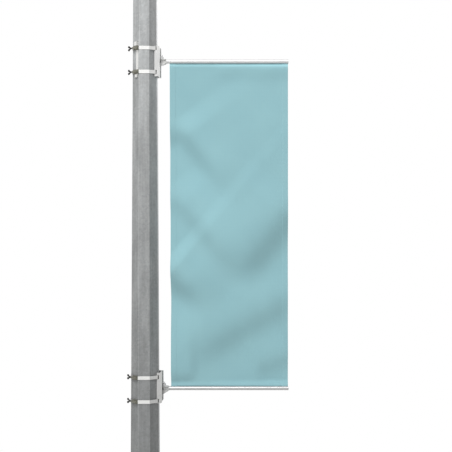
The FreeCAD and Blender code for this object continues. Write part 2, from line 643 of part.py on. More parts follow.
def build_worm_drive(level, spot, height):
    """Worm housing on the strap and the wing screw that turns in it.

    Both are drawn with +X along the screw and +Y away from the post, then turned onto the face of
    the post that lies between -X and -Y.
    """
    name = f"{level.name}_{spot}"
    face = strap_frame(level, height)
    start = f"(-{face} * {FLAT_TURN} + housing_inset)"
    axis_height = f"({face} + worm_height)"
    body = box(f"{name}_housing_body", (start, f"{face} + housing_plate", "-housing_half_height"),
               ("housing_length", "housing_body - housing_plate", "2 * housing_half_height"))
    barrel = rod_x(f"{name}_housing_barrel", "barrel_radius", "housing_length", (start, axis_height, "0"))
    channel = box(
        f"{name}_housing_channel",
        (f"{start} - housing_length", f"{face} + housing_plate + housing_floor",
         "-strap_width / 2 - housing_play"),
        ("3 * housing_length", "strap_gap + strap_thick + housing_play - housing_plate - housing_floor",
         "strap_width + 2 * housing_play"),
    )
    bore = rod_x(f"{name}_worm_bore", "worm_radius + worm_play", "housing_length - 2 * barrel_end",
                 (f"{start} + barrel_end", axis_height, "0"))
    exit_hole = rod_x(f"{name}_shank_hole", "shank_radius + shank_play", "2 * barrel_end",
                      (f"{start} + housing_length - 1.5 * barrel_end", axis_height, "0"))
    block = fuse(f"{name}_housing_block", [body, barrel])
    housing = cut(f"{name}_housing_solid", block, [channel, bore, exit_hole])
    place(housing, ("0", "0", height), angle=135)
    keep(f"{name}_worm_housing", housing)

    bore_start = f"{start} + barrel_end + worm_play"
    pieces = [rod_x(f"{name}_worm_core", "worm_core", "core_length", (bore_start, axis_height, "0"))]
    for turn in range(WORM_TURNS):
        along = f"{bore_start} + {turn + 0.5} * worm_pitch - worm_turn / 2"
        pieces.append(rod_x(f"{name}_worm_turn_{turn}", "worm_radius", "worm_turn", (along, axis_height, "0")))
    outside = f"({start} + housing_length)"
    pieces.append(rod_x(f"{name}_shank", "shank_radius", "barrel_end + worm_play + shank_length + worm_play",
                        (f"{outside} - barrel_end - worm_play", axis_height, "0")))
    pieces.append(rod_x(f"{name}_thrust_collar", "collar_ring", "worm_turn",
                        (f"{outside} + worm_play", axis_height, "0")))
    root = f"({outside} + shank_length)"
    tip = f"({root} + wing_length - wing_lobe)"
    points = [
        (root, "-wing_root"), (f"{root} + wing_length / 3", "-1.5 * wing_root"),
        (tip, "-wing_tip"), (tip, "wing_lobe - wing_tip"),
        (f"{root} + wing_length - wing_notch", "0"), (tip, "wing_tip - wing_lobe"),
        (tip, "wing_tip"), (f"{root} + wing_length / 3", "1.5 * wing_root"),
        (root, "wing_root"),
    ]
    pieces.append(plate(f"{name}_wing", points, "wing_thick", ("0", axis_height, "0"), (1, 0, 0), 90))
    for side, sign in (("low", "-"), ("high", "")):
        lobe_spot = (tip, f"{axis_height} + wing_thick / 2", f"{sign}(wing_tip - wing_lobe)")
        pieces.append(rod(f"{name}_{side}_lobe", "wing_lobe", "wing_thick", lobe_spot, (1, 0, 0), 90))
    screw = fuse(f"{name}_wing_screw_solid", pieces)
    place(screw, ("0", "0", height), angle=135)
    keep(f"{name}_wing_screw", screw)


def build_tail(level):
    """Loose end of the upper top strap: an arch, a run down the post and a curl at its end."""
    (_, top), (_, bottom) = level.strap_levels()
    top_height = number(top)
    rise = top_height - number(bottom)
    top_face = number(half_flats(top))
    lean = number("post_taper") / 2
    inner = top_face + number("tail_gap") + number("tail_thick") / 2
    arch_radius = (number("tail_reach") - number("tail_gap")) / 2
    arch_low = number("tail_arch") - arch_radius
    seat = number("housing_half_height")
    curl = number("tail_curl")
    foot = -rise - number("tail_drop") + curl
    foot_face = inner - lean * foot
    head_face = inner - lean * arch_low
    arch_outer = head_face + 2 * arch_radius

    def spot(out, up):
        return Vector(number("tail_offset"), out, up)

    arch_top = spot(head_face + arch_radius, arch_low + arch_radius)
    curl_low = spot(foot_face + curl, foot - curl)
    curl_out = foot_face + 2 * curl
    curves = [
        Part.LineSegment(spot(arch_outer, seat), spot(arch_outer, arch_low)),
        Part.Arc(spot(arch_outer, arch_low), arch_top, spot(head_face, arch_low)),
        Part.LineSegment(spot(head_face, arch_low), spot(foot_face, foot)),
        Part.Arc(spot(foot_face, foot), curl_low, spot(curl_out, foot)),
        Part.LineSegment(spot(curl_out, foot), spot(curl_out, foot + number("tail_return"))),
    ]
    path = Part.Wire([curve.toShape() for curve in curves])
    half_thick = number("tail_thick") / 2
    side = Part.makeLine(spot(arch_outer - half_thick, seat), spot(arch_outer + half_thick, seat))
    ribbon = path.makePipeShell([Part.Wire([side])], False, False, 2)
    solid = None
    for face in ribbon.Faces:
        strip = face.extrude(Vector(number("strap_width"), 0, 0))
        solid = strip if solid is None else solid.fuse(strip)
    item = doc.addObject("Part::Feature", "upper_strap_tail_solid")
    item.Shape = solid.removeSplitter()
    turned = Rotation(Vector(0, 0, 1), 135)
    shift = turned.multVec(Vector(-number("strap_width") / 2, 0, 0))
    item.Placement = Placement(shift + Vector(0, 0, top_height), turned)
    keep("upper_strap_tail", item)


def check_document():
    """Stop if any object failed, or if a sub-part's shape is empty or invalid."""
    for item in doc.Objects:
        if "Invalid" in item.State or "Error" in item.State:
            raise RuntimeError(f"{item.Name} failed: {item.State}")
    for name, item in nodes.items():
        if item.Shape.isNull() or not item.Shape.isValid() or not item.Shape.Solids:
            raise RuntimeError(f"{name} has no valid solid")


def write_parts():
    """Write each sub-part to parts/ under its node name."""
    os.makedirs("parts", exist_ok=True)
    for name, item in nodes.items():
        item.Shape.exportStep(f"parts/{name}.step")
        bounds = item.Shape.BoundBox
        print(f"{name}: {len(item.Shape.Solids)} solids, volume {item.Shape.Volume:.0f}, "
              f"z {bounds.ZMin:.1f} to {bounds.ZMax:.1f}, x {bounds.XMin:.1f} to {bounds.XMax:.1f}")


LEVELS = (
    Level("upper", "upper_arm", True, "upper_rib"),
    Level("lower", "lower_arm", False, "lower_rib"),
)
build_post()
grooves = []
for level, banner_side in zip(LEVELS, (-1, 1)):
    build_saddle(level)
    build_pivot(level)
    build_tongue(level, banner_side)
    grooves.append(build_rail(level, banner_side))
    for spot, height in level.strap_levels():
        build_strap(level, spot, height)
        build_worm_drive(level, spot, height)
build_banner(*grooves)
build_tail(LEVELS[0])
doc.recompute()
check_document()
write_parts()
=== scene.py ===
"""Visual model of a banner post: a galvanised octagonal post with a cloth banner between two rails.

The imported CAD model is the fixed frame. This script stands detailed, finished pieces in for its nodes,
adds welds, hems and stitching, and sets up a plain studio with a level camera.
"""

import json
import logging
import math
from dataclasses import dataclass, field
from enum import Enum
from typing import Any, Sequence

import bmesh
import bpy
from mathutils import Matrix, Vector, noise

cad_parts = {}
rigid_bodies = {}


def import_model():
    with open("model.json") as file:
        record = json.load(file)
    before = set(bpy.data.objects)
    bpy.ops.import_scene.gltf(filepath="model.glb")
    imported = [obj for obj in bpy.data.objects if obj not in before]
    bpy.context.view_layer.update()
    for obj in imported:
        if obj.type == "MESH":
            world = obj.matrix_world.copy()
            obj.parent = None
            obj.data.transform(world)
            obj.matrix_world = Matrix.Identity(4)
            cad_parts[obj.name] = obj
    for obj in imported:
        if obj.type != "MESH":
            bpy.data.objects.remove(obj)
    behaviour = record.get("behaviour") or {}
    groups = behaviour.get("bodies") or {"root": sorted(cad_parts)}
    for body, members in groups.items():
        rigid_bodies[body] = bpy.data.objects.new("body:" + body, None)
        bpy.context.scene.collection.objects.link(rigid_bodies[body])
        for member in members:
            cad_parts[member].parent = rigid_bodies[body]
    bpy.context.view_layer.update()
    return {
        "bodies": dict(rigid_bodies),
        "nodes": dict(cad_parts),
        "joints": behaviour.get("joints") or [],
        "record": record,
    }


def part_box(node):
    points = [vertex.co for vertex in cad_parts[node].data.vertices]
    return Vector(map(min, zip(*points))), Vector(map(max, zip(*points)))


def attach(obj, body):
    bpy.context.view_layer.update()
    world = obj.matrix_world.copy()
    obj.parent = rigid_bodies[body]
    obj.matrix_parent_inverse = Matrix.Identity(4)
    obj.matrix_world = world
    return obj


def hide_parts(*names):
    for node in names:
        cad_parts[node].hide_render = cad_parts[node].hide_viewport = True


LOG = logging.getLogger("banner_post")
MM = 0.001
WAVE_RADIANS = 20.0  # a wave texture turns through this many radians for each unit of its scale
SAME_SPOT = 0.004 * MM  # corners of a CAD copy that are nearer than this are one corner
FLAT_DEG = 0.6  # faces of a CAD copy that bend less than this are one face
SHARP_DEG = 28.0  # edges of a CAD copy that bend more than this are softened


class Body(Enum):
    """The moving bodies that pieces ride on."""

    POST = "post"
    ARMS = "banner_arms"


# --------------------------------------------------------------------------- small helpers


def linear(hex_code: str) -> tuple[float, float, float, float]:
    """Turn an sRGB hex colour into a linear RGBA colour.

    Args:
        hex_code: Six hex digits, such as "a0b1c2".

    Returns:
        The linear red, green, blue and an alpha of one.
    """
    parts = [int(hex_code[i : i + 2], 16) / 255 for i in (0, 2, 4)]
    low = [c / 12.92 if c <= 0.04045 else ((c + 0.055) / 1.055) ** 2.4 for c in parts]
    return (low[0], low[1], low[2], 1.0)


def add_node(
    tree: bpy.types.NodeTree,
    kind: str,
    values: dict[Any, Any] | None = None,
    links: dict[Any, bpy.types.NodeSocket] | None = None,
    **settings: Any,
) -> bpy.types.Node:
    """Add a node with its settings, socket values and incoming links.

    Args:
        tree: The node tree to add to.
        kind: The node's type name.
        values: Socket name or number to value.
        links: Socket name or number to the output that feeds it.
        **settings: Properties of the node.

    Returns:
        The new node.
    """
    node = tree.nodes.new(kind)
    for name, value in settings.items():
        setattr(node, name, value)
    for name, value in (values or {}).items():
        node.inputs[name].default_value = value
    for name, output in (links or {}).items():
        tree.links.new(output, node.inputs[name])
    return node


def ramp(
    tree: bpy.types.NodeTree,
    factor: bpy.types.NodeSocket,
    stops: Sequence[tuple[float, Sequence[float]]],
) -> bpy.types.NodeSocket:
    """Add a colour ramp.

    Args:
        tree: The node tree to add to.
        factor: The output that drives the ramp.
        stops: Pairs of position and linear colour.

    Returns:
        The ramp's colour output.
    """
    node = add_node(tree, "ShaderNodeValToRGB", links={"Fac": factor})
    elements = node.color_ramp.elements
    while len(elements) < len(stops):
        elements.new(1.0)
    for element, (spot, colour) in zip(elements, stops):
        element.position = spot
        element.color = colour
    return node.outputs["Color"]


def grey(level: float) -> tuple[float, float, float, float]:
    """Return a neutral linear colour."""
    return (level, level, level, 1.0)


def new_material(name: str, **uniform: Any) -> tuple[bpy.types.Material, bpy.types.NodeTree, bpy.types.Node]:
    """Make a material with one Principled shader.

    Args:
        name: The material's name.
        **uniform: Principled socket values, with spaces written as underscores.

    Returns:
        The material, its node tree and its shader.
    """
    material = bpy.data.materials.new(name)
    material.use_nodes = True
    tree = material.node_tree
    shader = tree.nodes["Principled BSDF"]
    for socket, value in uniform.items():
        shader.inputs[socket.replace("_", " ")].default_value = value
    return material, tree, shader


def stretched(tree: bpy.types.NodeTree, scale: Sequence[float]) -> bpy.types.NodeSocket:
    """Scale Object coordinates along each axis.

    Args:
        tree: The node tree to add to.
        scale: The factor along each axis.

    Returns:
        The coordinates' output.
    """
    place = add_node(tree, "ShaderNodeTexCoord")
    return add_node(
        tree, "ShaderNodeMapping", values={"Scale": tuple(scale)}, links={"Vector": place.outputs["Object"]}
    ).outputs["Vector"]


def multiply(
    tree: bpy.types.NodeTree, first: bpy.types.NodeSocket, second: bpy.types.NodeSocket
) -> bpy.types.NodeSocket:
    """Multiply two colours.

    Args:
        tree: The node tree to add to.
        first: One colour output.
        second: The other colour output.

    Returns:
        The product's colour output.
    """
    node = add_node(
        tree,
        "ShaderNodeMix",
        values={"Factor": 1.0},
        links={6: first, 7: second},
        data_type="RGBA",
        blend_type="MULTIPLY",
    )
    return node.outputs[2]


def by_height(
    tree: bpy.types.NodeTree, stops: Sequence[tuple[float, float]], low: float = 0.0, high: float = 4.3
) -> bpy.types.NodeSocket:
    """Return a grey level that follows the height above the ground.

    Args:
        tree: The node tree to add to.
        stops: Pairs of height in metres and grey level.
        low: Height where the ramp starts.
        high: Height where the ramp ends.

    Returns:
        The colour output.
    """
    place = add_node(tree, "ShaderNodeTexCoord")
    height = add_node(tree, "ShaderNodeSeparateXYZ", links={"Vector": place.outputs["Object"]})
    rise = add_node(
        tree,
        "ShaderNodeMapRange",
        values={"From Min": low, "From Max": high},
        links={"Value": height.outputs["Z"]},
    )
    return ramp(tree, rise.outputs["Result"], [((z - low) / (high - low), grey(level)) for z, level in stops])


def per_metre(size_mm: float) -> float:
    """Return the texture scale that gives a pattern of one size in millimetres."""
    return 1.0 / (size_mm * MM)


# --------------------------------------------------------------------------- finishes


@dataclass(frozen=True)
class GalvanisedSteel:
    """Hot-dip galvanised steel: dull zinc with a mottled spangle, darkened towards the foot by painted shade.

    On the post's sheet the eight bends get a painted highlight, a little brighter than the faces between
    them, and the faces get painted shade that differs a little from face to face.
    """

    name: str = "hot_dip_galvanised_steel"
    painted_bends_and_faces: bool = False
    spangle_mm: float = 9.0
    cloud_mm: float = 45.0
    streak_mm: float = 12.0
    grain_mm: float = 6.4
    zinc: str = "d6d8d8"
    dull_zinc: str = "d2d5d6"
    # Painted shade: height in metres and grey level, darker towards the foot, where the light falls off.
    painted_light_by_height: tuple[tuple[float, float], ...] = (
        (0.1, 0.29), (1.0, 0.31), (1.95, 0.325), (2.1, 0.345), (2.48, 0.425), (2.7, 0.455), (2.94, 0.495),
        (3.3, 0.55), (3.6, 0.605), (3.9, 0.67), (4.17, 0.74), (4.3, 0.76),
    )

    def build(self) -> bpy.types.Material:
        """Build the zinc coat: spangle, clouds, streaks and painted shade that darkens it lower down drive
        its colour.

        Returns:
            The material.
        """
        material, tree, shader = new_material(self.name, Metallic=0.35, Roughness=0.52)
        even = stretched(tree, (1, 1, 1))
        runs = stretched(tree, (1, 1, 0.22))
        warp = add_node(
            tree,
            "ShaderNodeTexNoise",
            values={"Scale": per_metre(self.spangle_mm), "Detail": 2.0},
            links={"Vector": even},
        )
        bent = add_node(
            tree,
            "ShaderNodeMix",
            values={"Factor": 0.012},
            links={"A": even, "B": warp.outputs["Color"]},
            data_type="VECTOR",
        )
        spangle = add_node(
            tree,
            "ShaderNodeTexVoronoi",
            values={"Scale": per_metre(self.spangle_mm)},
            links={"Vector": bent.outputs[1]},
        )
        level = add_node(tree, "ShaderNodeSeparateColor", links={"Color": spangle.outputs["Color"]})
        cloud = add_node(
            tree,
            "ShaderNodeTexNoise",
            values={"Scale": per_metre(self.cloud_mm), "Detail": 5.0},
            links={"Vector": runs},
        )
        streak = add_node(
            tree,
            "ShaderNodeTexNoise",
            values={"Scale": per_metre(self.streak_mm), "Detail": 3.0},
            links={"Vector": stretched(tree, (1, 1, 0.05))},
        )
        flake = ramp(tree, level.outputs["Red"], [(0.0, grey(0.90)), (1.0, grey(1.07))])
        patch = ramp(tree, cloud.outputs["Fac"], [(0.32, grey(0.86)), (0.68, grey(1.12))])
        run = ramp(tree, streak.outputs["Fac"], [(0.35, grey(0.92)), (0.6, grey(1.03))])
        colour = ramp(tree, level.outputs["Blue"], [(0.0, linear(self.dull_zinc)), (1.0, linear(self.zinc))])
        # The height ramp is painted shade, darker lower down.
        parts = [flake, patch, run, by_height(tree, self.painted_light_by_height)]
        # Painted light: a highlight on the bends and shade that differs from face to face.
        if self.painted_bends_and_faces:
            parts.extend(self.painted_bend_and_face_light(tree))
        for part in parts:
            colour = multiply(tree, colour, part)
        tree.links.new(colour, shader.inputs["Base Color"])
        rough = add_node(
            tree,
            "ShaderNodeMapRange",
            values={"To Min": 0.40, "To Max": 0.62},
            links={"Value": level.outputs["Green"]},
        )
        tree.links.new(rough.outputs["Result"], shader.inputs["Roughness"])
        grain = add_node(
            tree,
            "ShaderNodeTexNoise",
            values={"Scale": per_metre(self.grain_mm), "Detail": 6.0},
            links={"Vector": even},
        )
        bump = add_node(
            tree,
            "ShaderNodeBump",
            values={"Strength": 0.25, "Distance": 0.4 * MM},
            links={"Height": grain.outputs["Fac"]},
        )
        tree.links.new(bump.outputs["Normal"], shader.inputs["Normal"])
        return material

    def painted_bend_and_face_light(self, tree: bpy.types.NodeTree) -> list[bpy.types.NodeSocket]:
        """Return the painted highlight and painted shade that follow the way round the post's axis.

        Args:
            tree: The material's node tree.

        Returns:
            A painted highlight that rises at the eight bends, and painted shade that differs a little from
            face to face.
        """
        place = add_node(tree, "ShaderNodeTexCoord")
        axes = add_node(tree, "ShaderNodeSeparateXYZ", links={"Vector": place.outputs["Object"]})
        angle = add_node(
            tree, "ShaderNodeMath", links={0: axes.outputs["Y"], 1: axes.outputs["X"]}, operation="ARCTAN2"
        )
        eighths = add_node(
            tree,
            "ShaderNodeMath",
            values={1: 4.0 / math.pi, 2: 8.0},
            links={0: angle.outputs["Value"]},
            operation="MULTIPLY_ADD",
        )
        from_face = add_node(
            tree, "ShaderNodeMath", values={1: 0.5}, links={0: eighths.outputs["Value"]}, operation="PINGPONG"
        )
        turn = add_node(
            tree,
            "ShaderNodeMath",
            values={1: 0.5 / math.pi, 2: 0.5},
            links={0: angle.outputs["Value"]},
            operation="MULTIPLY_ADD",
        )
        # The bends get a painted highlight; the faces get painted shade that differs from face to face.
        bends = [(0.0, grey(1.0)), (0.42, grey(0.98)), (0.475, grey(1.13)), (0.5, grey(1.17))]
        sides = [
            (0.0, grey(1.03)),
            (0.182, grey(1.03)),
            (0.194, grey(0.9)),
            (0.306, grey(0.9)),
            (0.32, grey(0.88)),
            (0.6, grey(1.0)),
        ]
        return [ramp(tree, from_face.outputs["Value"], bends), ramp(tree, turn.outputs["Value"], sides)]


@dataclass(frozen=True)
class GrainedFinish:
    """A surface set by its grain: cast, stamped, rolled or extruded metal, or extruded PVC.

    Real grains are too fine to show, so these are drawn coarser. Painted shade darkens each surface a little
    more the lower it hangs on the post.
    """

    name: str
    light: str
    dark: str
    metallic: float
    roughness: float
    grain_mm: float
    stretch: tuple[float, float, float] = (1.0, 1.0, 1.0)
    bump_mm: float = 0.05
    coarse_mm: float = 25.0
    # Painted shade: height in metres and grey level, darker lower down.
    painted_light_by_height: tuple[tuple[float, float], ...] = ((1.9, 0.64), (3.9, 1.0))

    def build(self) -> bpy.types.Material:
        """Build the surface: two scales of grain drive its colour, and the finer one its shine and bump.

        Returns:
            The material.
        """
        material, tree, shader = new_material(self.name, Metallic=self.metallic)
        grain = add_node(
            tree,
            "ShaderNodeTexNoise",
            values={"Scale": per_metre(self.grain_mm), "Detail": 4.0},
            links={"Vector": stretched(tree, self.stretch)},
        )
        patch = add_node(
            tree,
            "ShaderNodeTexNoise",
            values={"Scale": per_metre(self.coarse_mm), "Detail": 3.0},
            links={"Vector": stretched(tree, (1, 1, 1))},
        )
        blend = add_node(
            tree,
            "ShaderNodeMix",
            values={"Factor": 0.5},
            links={"A": grain.outputs["Fac"], "B": patch.outputs["Fac"]},
        )
        colour = ramp(tree, blend.outputs["Result"], [(0.3, linear(self.dark)), (0.62, linear(self.light))])
        # Painted shade: the colour darkens the lower the piece hangs.
        colour = multiply(tree, colour, by_height(tree, self.painted_light_by_height))
        tree.links.new(colour, shader.inputs["Base Color"])
        rough = add_node(
            tree,
            "ShaderNodeMapRange",
            values={"To Min": self.roughness - 0.08, "To Max": self.roughness + 0.1},
            links={"Value": grain.outputs["Fac"]},
        )
        tree.links.new(rough.outputs["Result"], shader.inputs["Roughness"])
        bump = add_node(
            tree,
            "ShaderNodeBump",
            values={"Strength": 0.5, "Distance": self.bump_mm * MM},
            links={"Height": grain.outputs["Fac"]},
        )
        tree.links.new(bump.outputs["Normal"], shader.inputs["Normal"])
        return material


@dataclass(frozen=True)
class BannerCloth:
    """Warp-knitted polyester, printed pale blue-green: a fine rib of loops; painted shade low down, painted
    light at its top.
    """

    name: str = "knitted_polyester_banner_cloth"
    colour: str = "94bfc6"
    deep: str = "8fbac2"
    # Millimetres of cloth for one radian of each wave, so ribs stand 15 mm apart and loops 19 mm. The real
    # knit is too fine to show, so it is drawn this coarse.
    rib_mm: float = 2.4
    loop_mm: float = 3.0
    cloud_mm: float = 160.0
    # Painted shade darkens the cloth lower down, and a painted highlight brightens its top few millimetres,
    # where the rail's shadow falls.
    painted_light_by_height: tuple[tuple[float, float], ...] = (
        (2.25, 0.845), (2.39, 0.865), (2.7, 0.905), (3.1, 0.96), (3.886, 1.0), (3.89, 1.45),
    )

    def build(self) -> bpy.types.Material:
        """Build the cloth: the knit drives its bump, and clouds, knit and a painted height shade drive its
        colour.

        Returns:
            The material.
        """
        material, tree, shader = new_material(
            self.name, Roughness=0.85, Sheen_Weight=0.15, Sheen_Roughness=0.6
        )
        shader.inputs["Specular IOR Level"].default_value = 0.2
        place = add_node(tree, "ShaderNodeTexCoord")
        ribs = add_node(
            tree,
            "ShaderNodeTexWave",
            values={"Scale": per_metre(self.rib_mm) / WAVE_RADIANS, "Distortion": 0.4, "Detail": 1.0},
            links={"Vector": place.outputs["Object"]},
            bands_direction="X",
        )
        loops = add_node(
            tree,
            "ShaderNodeTexWave",
            values={"Scale": per_metre(self.loop_mm) / WAVE_RADIANS, "Distortion": 0.4, "Detail": 1.0},
            links={"Vector": place.outputs["Object"]},
            bands_direction="Z",
        )
        weave = add_node(
            tree,
            "ShaderNodeMath",
            links={0: ribs.outputs["Fac"], 1: loops.outputs["Fac"]},
            operation="MULTIPLY",
        )
        cloud = add_node(
            tree,
            "ShaderNodeTexNoise",
            values={"Scale": per_metre(self.cloud_mm), "Detail": 3.0},
            links={"Vector": place.outputs["Object"]},
        )
        shade = add_node(
            tree,
            "ShaderNodeMix",
            values={"Factor": 0.12},
            links={"A": cloud.outputs["Fac"], "B": weave.outputs["Value"]},
        )
        colour = ramp(tree, shade.outputs["Result"], [(0.2, linear(self.deep)), (0.75, linear(self.colour))])
        # Painted shade lower down, and a painted highlight along the top edge.
        colour = multiply(tree, colour, by_height(tree, self.painted_light_by_height))
        tree.links.new(colour, shader.inputs["Base Color"])
        bump = add_node(
            tree,
            "ShaderNodeBump",
            values={"Strength": 0.3, "Distance": 0.12 * MM},
            links={"Height": weave.outputs["Value"]},
        )
        tree.links.new(bump.outputs["Normal"], shader.inputs["Normal"])
        return material


@dataclass(frozen=True)
class StudioFloor:
    """Pale painted floor with a faint mottle."""

    mottle_scale: float = 1.5
    name: str = "pale_painted_floor"
    light: str = "f4f4f2"
    dark: str = "ecece9"

    def build(self) -> bpy.types.Material:
        """Build the paint.

        Returns:
            The material.
        """
        material, tree, shader = new_material(self.name, Roughness=0.9)
        cloud = add_node(
            tree,
            "ShaderNodeTexNoise",
            values={"Scale": self.mottle_scale, "Detail": 4.0},
            links={"Vector": stretched(tree, (1, 1, 1))},
        )
        colour = ramp(tree, cloud.outputs["Fac"], [(0.3, linear(self.dark)), (0.7, linear(self.light))])
        tree.links.new(colour, shader.inputs["Base Color"])
        return material


class Finish(Enum):
    """The grained finishes, each named for what the real piece is made of."""

    # Matt and slightly sandy, so a casting shows no clear reflections.
    CAST = GrainedFinish("bead_blasted_cast_aluminium", "d6d6d5", "c6c6c5", 0.3, 0.5, 1.4, bump_mm=0.12)
    # An even satin, with faint lines along the rail from the die.
    RAIL = GrainedFinish("satin_anodised_aluminium", "d0d0d0", "c6c6c7", 0.4, 0.34, 1.2, (0.03, 1, 1), 0.02)
    # Bright and smooth, with long faint rolling lines round the post.
    BAND = GrainedFinish(
        "rolled_stainless_band", "f8f8f6", "f0f0ee", 0.5, 0.3, 0.8, (0.05, 0.05, 1), 0.02,
        # Painted shade, darker lower down than on the other finishes.
        painted_light_by_height=((1.9, 0.57), (3.9, 1.0)),
    )
    # Dull yellowish zinc, mottled by weather.
    STAMPED = GrainedFinish(
        "zinc_plated_stamped_steel", "969588", "6c6b62", 0.55, 0.42, 1.5, bump_mm=0.05, coarse_mm=9
    )
    # Nearly black with a satin shine, so that mostly its edges catch the light.
    WING = GrainedFinish(
        "blackened_pressed_steel", "454541", "20201f", 0.6, 0.42, 1.2, bump_mm=0.08, coarse_mm=8
    )
    # Clean zinc, pale and softly shining.
    FASTENER = GrainedFinish(
        "zinc_plated_steel", "f0f0f0", "dcdcdd", 0.5, 0.34, 0.9, bump_mm=0.02, coarse_mm=12
    )
    # Off-white plastic with a soft, even shine.
    CORD = GrainedFinish("extruded_pvc_keder", "f2f2ee", "e2e2dc", 0.0, 0.5, 2.0, (0.1, 1, 1), 0.03)


# --------------------------------------------------------------------------- mesh helpers


def finish_mesh(
    name: str,
    mesh: bmesh.types.BMesh,
    material: bpy.types.Material,
    body: Body | str,
    smooth_deg: float = 40.0,
) -> bpy.types.Object:
    """Turn a bmesh into a shown piece that rides on a body.

    Args:
        name: The piece's name.
        mesh: The finished bmesh, in metres and in place; it is freed.
        material: The piece's finish.
        body: The body that it rides on.
        smooth_deg: Edges below this angle are smooth.

    Returns:
        The piece.
    """
    bmesh.ops.remove_doubles(mesh, verts=mesh.verts, dist=1e-6)
    bmesh.ops.recalc_face_normals(mesh, faces=mesh.faces)
    data = bpy.data.meshes.new(name)
    mesh.to_mesh(data)
    mesh.free()
    data.materials.append(material)
    data.shade_smooth()
    data.set_sharp_from_angle(angle=math.radians(smooth_deg))
    piece = bpy.data.objects.new(name, data)
    bpy.context.collection.objects.link(piece)
    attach(piece, body.value if isinstance(body, Body) else body)
    LOG.info("%s: %d faces", name, len(data.polygons))
    return piece


def rounded(
    frame: dict[str, Any],
    node: str,
    material: bpy.types.Material,
    body: Body | str,
    width: float,
    segments: int = 2,
) -> bpy.types.Object:
    """Stand a copy of a CAD node with softened edges in for the node.

    Args:
        frame: The loaded frame.
        node: The CAD node.
        material: The copy's finish.
        body: The body that it rides on.
        width: Width of the softened edges, in metres.
        segments: Number of faces across a softened edge.

    Returns:
        The piece.
    """
    mesh = bmesh.new()
    mesh.from_mesh(frame["nodes"][node].data)
    bmesh.ops.remove_doubles(mesh, verts=mesh.verts, dist=SAME_SPOT)
    bmesh.ops.dissolve_limit(mesh, angle_limit=math.radians(FLAT_DEG), verts=mesh.verts, edges=mesh.edges)
    limit = math.radians(SHARP_DEG)
    sharp = [edge for edge in mesh.edges if len(edge.link_faces) == 2 and edge.calc_face_angle(0.0) > limit]
    bmesh.ops.bevel(
        mesh,
        geom=sharp,
        offset=width,
        offset_type="OFFSET",
        segments=segments,
        profile=0.5,
        affect="EDGES",
        clamp_overlap=True,
        material=-1,
    )
    piece = finish_mesh(f"{node}_finished", mesh, material, body)
    piece.modifiers.new("even_shading", "WEIGHTED_NORMAL").keep_sharp = True
    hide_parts(node)
    return piece


def smooth_step(value: float) -> float:
    """Return a smooth rise from nought to one."""
    clipped = max(0.0, min(1.0, value))
    return clipped * clipped * (3.0 - 2.0 * clipped)


# --------------------------------------------------------------------------- the post


